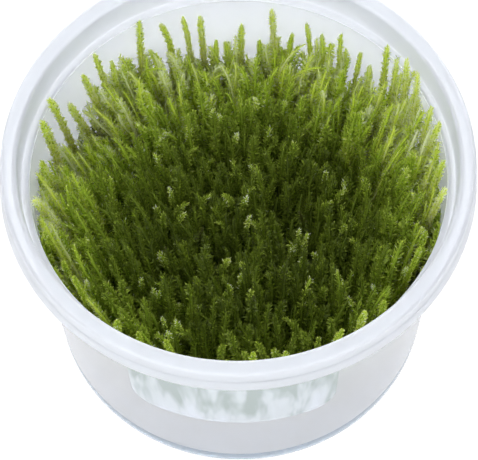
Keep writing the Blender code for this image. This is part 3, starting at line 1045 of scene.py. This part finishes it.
@dataclass
class MossStand:
    """The crowded stand of shoots, and the thatch that they rise from.

    An axis has nine coefficients: t and its square carry it from foot to tip, the third
    power less the fifth bends it and leaves its ends in place, and the eighth curls its tip.
    """

    cup: Cup
    view: Viewpoint
    count: int = 2100
    tall_share: float = 0.42
    sectors: int = 6
    foot_height: float = 25.0 * MM
    field_radius: float = 41.4 * MM
    squeeze: float = 0.88
    scatter: float = 0.7 * MM
    middle_top: float = 43.5 * MM
    low_drop: float = 6.0 * MM
    height_spread: float = 2.2 * MM
    thickness: float = 1.6 * MM
    leaf_length: float = 1.05 * MM
    leaf_spread: float = 55.0
    tall_leafing: float = 20.0 * MM
    low_leafing: float = 11.0 * MM
    bend: float = 3.3 * MM
    curl: float = 2.2 * MM
    sway: float = 0.06
    sway_size: float = 15.0 * MM
    wall_count: int = 260
    thatch_depth: float = 8.0 * MM
    thatch_shoulder: float = 12.0 * MM
    thatch_gap: float = 1.2 * MM

    def patches(self, foot: np.ndarray, size: float, seed: int) -> np.ndarray:
        """A value of about -1 to 1 for each foot, alike for feet that stand close together."""
        return smooth_noise(np.pad(foot, ((0, 0), (0, 1))), size, seed)

    def lean(self, foot: np.ndarray) -> np.ndarray:
        """How far a shoot at a foot runs to +X and +Y for each unit of height.

        The stand leans to the back, most of all in front, and splays out to both sides, and
        neighbours sway together.
        """
        left_splay, right_splay, to_left, back_lean, straighter = 0.52, 0.4, -0.04, 0.36, 0.12
        across, deep = (foot / self.field_radius).T
        side = to_left + np.where(across < 0, left_splay, right_splay) * across
        back = back_lean - straighter * deep
        sway = [self.patches(foot, self.sway_size, seed) for seed in SWAY_SEEDS]
        return np.stack([side, back], axis=1) + self.sway * np.stack(sway, axis=1)

    def top(self, foot: np.ndarray) -> np.ndarray:
        """How high the stand grows over a foot: level in the middle, by bearing at the wall."""
        level_share, slope_share = 0.5, 0.35
        bearing = np.degrees(np.arctan2(foot[:, 0], foot[:, 1]))
        bearings, heights = zip(*STAND_EDGE)
        edge = np.interp(bearing, bearings, heights) * MM
        distance = np.hypot(foot[:, 0], foot[:, 1]) / self.field_radius
        share = np.clip((distance - level_share) / slope_share, 0.0, 1.0)
        return self.middle_top + (edge - self.middle_top) * share

    def painted_light_tone(self, coefficients: np.ndarray) -> np.ndarray:
        """Painted light and shade: a paler tone the nearer a shoot's tip is to the cup's bright wall.

        The distance counts for less at the back, which gets more light, and for more at the
        front and on the right.
        """
        at_back, at_front, at_right = 1.2, 0.4, 0.35
        tip = coefficients.sum(axis=1)
        inside = self.cup.room(tip[:, 2]) - np.hypot(tip[:, 0], tip[:, 1])
        back = tip[:, 1] / self.field_radius
        inside = inside / (1.0 + np.where(back > 0, at_back, at_front) * back)
        inside = inside * (1.0 + at_right * np.clip(tip[:, 0] / self.field_radius, 0.0, 1.0))
        distances, tones = zip(*PAINTED_LIGHT_BY_DISTANCE)
        return np.interp(inside, np.array(distances) * MM, tones)

    def axes(self, foot: np.ndarray, push: np.ndarray, tip_height: np.ndarray) -> np.ndarray:
        """Lay out the axes of shoots: they bend over towards their tips.

        Args:
            foot: (n, 2) places of the feet.
            push: (n, 2) how far each tip lies from above its foot.
            tip_height: (n,) heights of the tips.

        Returns:
            Their coefficients, (n, 9, 3): 55% of the push grows with t and the rest with its
            square, and the height grows with t.
        """
        even, gathering, gap = 0.55, 0.45, 0.8 * MM
        tip = foot + push
        limit = self.cup.room(tip_height) - gap
        tip = tip * np.minimum(1.0, limit / np.hypot(tip[:, 0], tip[:, 1]))[:, None]
        push = tip - foot
        coefficients = np.zeros((len(foot), POWERS, 3))
        coefficients[:, 0, :2] = foot
        coefficients[:, 0, 2] = self.foot_height
        coefficients[:, 1, :2] = push * even
        coefficients[:, 2, :2] = push * gathering
        coefficients[:, 1, 2] = tip_height - self.foot_height
        return coefficients

    def hook(self, coefficients: np.ndarray, reach: np.ndarray) -> None:
        """Curl tips over sideways and down, with the highest power of t.

        Args:
            coefficients: the axes, which are changed.
            reach: (n,) how far each tip curls, to +X where positive.
        """
        drop = 0.9
        coefficients[:, -1, 0] += reach
        coefficients[:, -1, 2] -= np.minimum(np.abs(reach) * drop, coefficients[:, 1, 2] / (POWERS - 1))

    def crowd(self, tall: bool) -> Shoots:
        """Scatter feet on a sunflower spiral, and keep either the tall or the low shoots.

        Foot i of n lies at radius R sqrt((i + 0.5) / n) and at i golden angles. At the back
        the feet stand in clumps.
        """
        thinned, full_in_front, clump_size = -0.35, 1.5, 6 * MM
        patch_height, lean_spread = 1.2 * MM, 0.09
        curled_share, dead_share, loose_share = 0.1, 0.03, 0.1
        low_paler, patch_tone, patch_size, tone_spread, dead_pallor = 0.08, 0.05, 9 * MM, 0.13, 0.8
        curled_pallor, common_pallor, paler_in_light = 0.3, -0.06, 0.15
        chance = np.random.default_rng(SEED)
        number = np.arange(self.count)
        radius = self.field_radius * np.sqrt((number + 0.5) / self.count)
        angle = golden_turns(number)
        foot = np.stack([self.squeeze * radius * np.cos(angle), radius * np.sin(angle)], axis=1)
        foot = foot + chance.normal(0.0, self.scatter, foot.shape)
        keep = (chance.random(self.count) < self.tall_share) == tall
        clump = self.patches(foot, clump_size, CLUMP_SEED)
        clump = clump + full_in_front * (1 - foot[:, 1] / self.field_radius)
        foot = foot[keep & (clump > thinned)]
        count = len(foot)
        tip_height = self.top(foot) - (0.0 if tall else self.low_drop)
        tip_height += patch_height * self.patches(foot, self.sway_size, HEIGHT_SEED)
        tip_height += self.height_spread * np.clip(chance.normal(0.0, 1.0, count), -2.0, 2.4)
        rise = tip_height - self.foot_height
        push = (self.lean(foot) + chance.normal(0.0, lean_spread, (count, 2))) * rise[:, None]
        coefficients = self.axes(foot, push, tip_height)
        # The tone starts as painted light and shade, by the tip's distance from the bright wall.
        tone = self.painted_light_tone(coefficients)
        coefficients[:, 3, :2] += chance.normal(0.0, self.bend, (count, 2))
        coefficients[:, 5, :2] -= coefficients[:, 3, :2]
        curled = chance.random(count) < curled_share
        self.hook(coefficients, np.where(curled, chance.normal(0.0, self.curl, count), 0.0))
        # Low shoots get a paler tone: painted light that lifts the shade they stand in.
        tone += 0.0 if tall else low_paler
        tone += patch_tone * self.patches(foot, patch_size, TONE_SEED)
        tone += chance.normal(0.0, tone_spread, count) * tone
        pallor = np.where(curled, curled_pallor, common_pallor)
        # Shoots with a paler, painted-light tone also get paler tips.
        pallor = pallor + paler_in_light * tone * chance.random(count)
        pallor = np.where(chance.random(count) < dead_share, dead_pallor, pallor)
        thickness = self.thickness * chance.uniform(0.7, 1.25, count)
        leafing = self.tall_leafing if tall else self.low_leafing
        is_loose = chance.random(count) < loose_share
        loose = np.where(is_loose, chance.uniform(1.2, 1.6, count), 1.0)
        leafed = self.leafed(leafing, rise)
        return Shoots(coefficients, rise, thickness, tone, pallor, leafed, loose)

    def leafed(self, leafing: float, rise: np.ndarray) -> np.ndarray:
        """The t above which leaves grow, where they grow on the topmost length."""
        return np.clip(1 - leafing / rise, 0.05, 0.8)

    def landmarks(self) -> Shoots:
        """The shoots that the photograph shows singly, each under its own pixels."""
        foot_plane, rim_plane, in_rim_shade = 30.0 * MM, 48 * MM, 0.55
        brown_tone, paler, slight_curl, looser = 0.06, 0.04, 0.3, 1.15
        arch, straight, slender, common = 0.9, 0.05, 0.65, 0.8
        pallors = {UPRIGHT: 0.15, HOOKED: 0.5, BLEACHED: 1.0, BROWN: 0.0, ARCHING: 0.15}
        chance = np.random.default_rng(SEED + LANDMARK_SEED)
        count = len(LANDMARKS)
        tip_height = np.array([mark.height for mark in LANDMARKS])
        tip = self.view.at_height(np.array([mark.tip for mark in LANDMARKS], float), tip_height)
        low = np.full(count, foot_plane)
        foot = self.view.at_height(np.array([mark.foot for mark in LANDMARKS], float), low)
        push = (tip - foot)[:, :2]
        coefficients = self.axes(tip[:, :2] - push, push, tip_height)
        is_hooked, is_bleached, is_brown, is_arching = (
            np.array([mark.habit is habit for mark in LANDMARKS])
            for habit in (HOOKED, BLEACHED, BROWN, ARCHING)
        )
        coefficients[is_arching, 5, :2] = arch * push[is_arching]
        coefficients[is_arching, 1:3, :2] = straight * push[is_arching, None]
        reach = chance.choice([-1.0, 1.0], count) * chance.uniform(1.6, 2.8, count) * MM
        self.hook(coefficients, np.where(is_hooked, reach, reach * slight_curl))
        # Painted light by distance from the wall, and painted shade on tips under the front rim.
        at_front_rim = (tip_height > rim_plane) & (tip[:, 1] < 0)
        light = self.painted_light_tone(coefficients) * np.where(at_front_rim, in_rim_shade, 1.0)
        tone = np.where(is_brown, brown_tone, light + paler)
        pallor = np.array([pallors[mark.habit] for mark in LANDMARKS])
        thickness = self.thickness * chance.uniform(0.85, 1.05, count)
        thickness = np.where(is_arching | is_bleached, slender, common) * thickness
        rise = tip_height - self.foot_height
        loose = np.where(is_bleached, looser, 1.0)
        leafed = self.leafed(self.tall_leafing, rise)
        return Shoots(coefficients, rise, thickness, tone, pallor, leafed, loose)

    def wall_growth(self) -> Shoots:
        """Shoots that lie against the wall all the way round.

        Most are low and old, just above the gel. Where the moss reaches the rim, at the
        sides and in front of them, they are tall and green.
        """
        gel_top, taller, side_start, side_end = 21.8 * MM, 15.0, 0.2, -0.93
        bleached, old_from = 0.95, 0.5
        chance = np.random.default_rng(SEED + WALL_SEED)
        count = self.wall_count
        bearing = chance.uniform(0.0, 2 * math.pi, count)
        low = np.full(count, gel_top) + chance.uniform(0.0, 2.0 * MM, count)
        at_side = (np.cos(bearing) < side_start) & (np.cos(bearing) > side_end)
        high = chance.uniform(28.0, 36.0, count) + np.where(at_side, taller, 0.0)
        high = high * MM
        depth = chance.uniform(0.2 * MM, 0.4 * MM, count)
        outward = np.stack([np.sin(bearing), np.cos(bearing)], axis=1)
        foot = outward * (self.cup.room(low) - depth)[:, None]
        aside = np.stack([outward[:, 1], -outward[:, 0]], axis=1)
        tip = outward * (self.cup.room(high) - depth)[:, None]
        tip = tip + aside * chance.normal(0.0, 2.0 * MM, (count, 1))
        coefficients = np.zeros((count, POWERS, 3))
        coefficients[:, 0, :2] = foot
        coefficients[:, 0, 2] = low
        coefficients[:, 1, :2] = tip - foot
        coefficients[:, 1, 2] = high - low
        coefficients[:, 2, :2] = aside * chance.normal(0.0, 1.0 * MM, (count, 1))
        coefficients[:, 3, :2] = -coefficients[:, 2, :2]
        old = chance.random(count) >= old_from
        tone = np.where(old, chance.uniform(0.05, 0.3, count), bleached)
        tone = np.where(at_side, chance.uniform(0.45, 0.85, count), tone)
        thickness = chance.uniform(1.2, 3.0, count) * MM
        none, whole = np.zeros(count), np.ones(count)
        return Shoots(coefficients, high - low, thickness, tone, none, none, whole)

    def thatch(self) -> Surface:
        """A low closed cake that fills the cup from the gel to the feet, with a lumpy top.

        Its top falls towards the wall with the square of how far out on the shoulder it is.
        """
        rings, segments, lump_height = 40, 160, 1.2 * MM
        lumps = ((3.1 * MM, 3), (7.0 * MM, 4))
        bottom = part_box("moss_mat")[0][2]
        top = self.foot_height + self.thatch_depth
        shoulder = self.thatch_shoulder
        edge = self.cup.room(np.array(bottom)) - self.thatch_gap
        radii = np.linspace(0.0, 1.0, rings)[1:]
        drop = shoulder * np.clip((edge * radii - (edge - shoulder)) / shoulder, 0.0, 1.0) ** 2
        cap = [(float(edge * r), float(top - d), 0.0) for r, d in zip(radii, drop)][::-1]
        outline = [(0.0, bottom, 0.0), (edge, bottom, 0.0), *cap, (0.0, top, 0.0)]
        shape = revolved(filleted(outline), segments)
        lump = sum(smooth_noise(shape.points, size, seed) for size, seed in lumps)
        above = np.clip((shape.points[:, 2] - bottom) / (top - bottom), 0.0, 1.0)
        shape.points[:, 2] += above * lump * lump_height
        return shape

    def build(self, leaf: bpy.types.Material) -> None:
        """Build the thatch, and the shoots by sector."""
        cake = MossThatch().material()
        add_piece("moss_thatch", self.thatch(), cake, ["moss_mat"])
        for tall, leaves, rings in ((True, 220, 10), (False, 100, 7)):
            shoots = self.crowd(tall)
            shoots = shoots.along(self.landmarks() if tall else self.wall_growth())
            foot = shoots.coefficients[:, 0]
            bearing = np.arctan2(foot[:, 0], foot[:, 1]) / (2 * math.pi) % 1.0
            sector = np.floor(bearing * self.sectors).astype(int)
            for i in range(self.sectors):
                grower = Grower(
                    self.cup,
                    leaves,
                    rings,
                    leaf_length=self.leaf_length,
                    spread=self.leaf_spread,
                    seed=SEED + i,
                )
                shape = grower.grow(shoots.part(sector == i))
                name = f"moss_{'tall' if tall else 'low'}_{i + 1}"
                add_piece(name, shape, leaf, ["moss_crown"])


@dataclass
class TallShoots:
    """The free-standing shoots, each dressed along the axis of its own CAD solid.

    Those on the left are stouter, most of all at stout_bearing.
    """

    cup: Cup
    root_depth: float = 6.0 * MM
    leaves: int = 700
    stem_rings: int = 16
    stem_share: float = 0.16
    leaf_half_width: float = 0.13 * MM
    front_from: float = 103.0
    front_thickness: float = 1.5 * MM
    back_thickness: float = 1.6 * MM
    stouter: float = 0.5 * MM
    stout_bearing: float = -80.0
    stout_width: float = 20.0

    def axis_of(self, node: str) -> np.ndarray:
        """Fit the polynomial of a node's axis to the middles of its rings of corners."""
        ring_depth, degree = 0.02 * MM, 4
        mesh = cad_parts[node].data
        points = np.empty(len(mesh.vertices) * 3, dtype=np.float32)
        mesh.vertices.foreach_get("co", points)
        points = np.unique(np.round(points.reshape(-1, 3).astype(float), 6), axis=0)
        levels = np.unique(np.round(points[:, 2], 5))
        rings = [points[np.abs(points[:, 2] - level) < ring_depth] for level in levels]
        middles = np.array([ring.mean(axis=0) for ring in rings])
        slope = (middles[1] - middles[0]) / (middles[1, 2] - middles[0, 2])
        root = middles[0] - slope * self.root_depth
        middles = np.concatenate([[root], middles])
        t = (middles[:, 2] - root[2]) / (middles[-1, 2] - root[2])
        powers = t[:, None] ** np.arange(degree + 1)
        return np.linalg.lstsq(powers, middles, rcond=None)[0]

    def build(self, leaf: bpy.types.Material) -> None:
        """Dress every shoot node."""
        names = sorted(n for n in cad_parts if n.startswith("shoot_"))
        chance = np.random.default_rng(SEED + TALL_SEED)
        for i, node in enumerate(names):
            axis = self.axis_of(node)[None]
            rise = axis[:, 1:, 2].sum(axis=1)
            tip = axis.sum(axis=1)[0]
            bearing = math.degrees(math.atan2(tip[0], tip[1]))
            in_front = abs(bearing) > self.front_from
            thickness = self.front_thickness if in_front else self.back_thickness
            aside = (bearing - self.stout_bearing) / self.stout_width
            thickness += self.stouter * math.exp(-(aside**2))
            # Painted shade and light: shoots in front get a darker tone, those at the back a paler one,
            # lit from behind by the bright wall.
            tone = chance.uniform(0.45, 0.6) if in_front else chance.uniform(0.8, 0.95)
            thickness *= chance.uniform(0.88, 1.12)
            pallor, leafed, looseness = chance.uniform(0.0, 0.2), 0.1, chance.uniform(0.9, 1.2)
            values = (thickness, tone, pallor, leafed, looseness)
            grower = Grower(
                self.cup,
                self.leaves,
                self.stem_rings,
                leaf_half_width=self.leaf_half_width,
                stem_share=self.stem_share,
                seed=SEED + 2 * TALL_SEED + i,
            )
            shape = grower.grow(Shoots(axis, rise, *(np.array([value]) for value in values)))
            add_piece(f"leafy_{node}", shape, leaf, [node])


# Studio


@dataclass
class Studio:
    """The white paper that the cup stands on, the soft lights and the camera."""

    view: Viewpoint
    sensor: float = 36.0
    near: float = 10.0 * MM
    aim: float = 40.0 * MM
    half_floor: float = 1.5
    sky: str = "#F2F6FF"
    sky_strength: float = 1.08

    def place(self, name: str, data: bpy.types.ID, axes: tuple, where: tuple) -> bpy.types.Object:
        """Put a camera or a light in the scene.

        Args:
            name: its name.
            data: the camera's or the light's data.
            axes: its right, up and back directions.
            where: where it stands.

        Returns:
            Its object.
        """
        thing = bpy.data.objects.new(name, data)
        matrix = np.eye(4)
        matrix[:3] = np.stack([*axes, where], axis=1)
        thing.matrix_world = matrix.T.tolist()
        bpy.context.scene.collection.objects.link(thing)
        return thing

    def camera(self) -> None:
        """Place the camera at the photograph's viewpoint."""
        data = bpy.data.cameras.new("camera")
        data.sensor_width = self.sensor
        data.lens = self.view.focal_pixels / self.view.frame_width * self.sensor
        data.clip_start = self.near
        camera = self.place("camera", data, self.view.axes(), self.view.place())
        bpy.context.scene.camera = camera

    def light(
        self, name: str, where: tuple[float, float, float], size: float, power: float
    ) -> None:
        """Hang a square soft light that faces the cup.

        Args:
            name: the light's name.
            where: where it hangs.
            size: the length of its side.
            power: its power in watts.
        """
        data = bpy.data.lights.new(name, "AREA")
        data.size = size
        data.energy = power
        away = np.array(where) - np.array([0.0, 0.0, self.aim])
        away /= np.linalg.norm(away)
        side = np.cross([0.0, 1.0, 0.0], away)
        side /= np.linalg.norm(side)
        self.place(name, data, (side, np.cross(away, side), away), where)

    def floor(self) -> None:
        """Lay the paper."""
        half = self.half_floor
        mesh = bpy.data.meshes.new("paper")
        corners = [(-half, -half, 0.0), (half, -half, 0.0), (half, half, 0.0), (-half, half, 0.0)]
        mesh.from_pydata(corners, [], [(0, 1, 2, 3)])
        mesh.materials.append(PaperSweep().material())
        thing = bpy.data.objects.new("paper", mesh)
        bpy.context.scene.collection.objects.link(thing)

    def build(self) -> None:
        """Set the background, the lights, the floor and the camera."""
        scene = bpy.context.scene
        scene.view_settings.view_transform = "Standard"
        world = bpy.data.worlds.new("studio")
        scene.world = world
        world.use_nodes = True
        background = world.node_tree.nodes["Background"].inputs
        background["Color"].default_value = linear(self.sky)
        background["Strength"].default_value = self.sky_strength
        self.light("back_softbox", (0.0, 0.9, 0.45), size=0.8, power=6.0)
        self.light("front_softbox", (-0.2, -0.8, 0.5), size=0.6, power=3.0)
        self.floor()
        self.camera()


def main() -> None:
    """Build the studio and every piece, in order."""
    logging.basicConfig(level=logging.INFO, format="%(message)s", stream=sys.stdout)
    view = Viewpoint()
    Studio(view).build()
    cup = Cup()
    cup.build()
    Gel(cup).build()
    Label(cup).build()
    leaf = MossLeaf().material()
    MossStand(cup, view).build(leaf)
    TallShoots(cup).build(leaf)


if __name__ == "__main__":
    main()
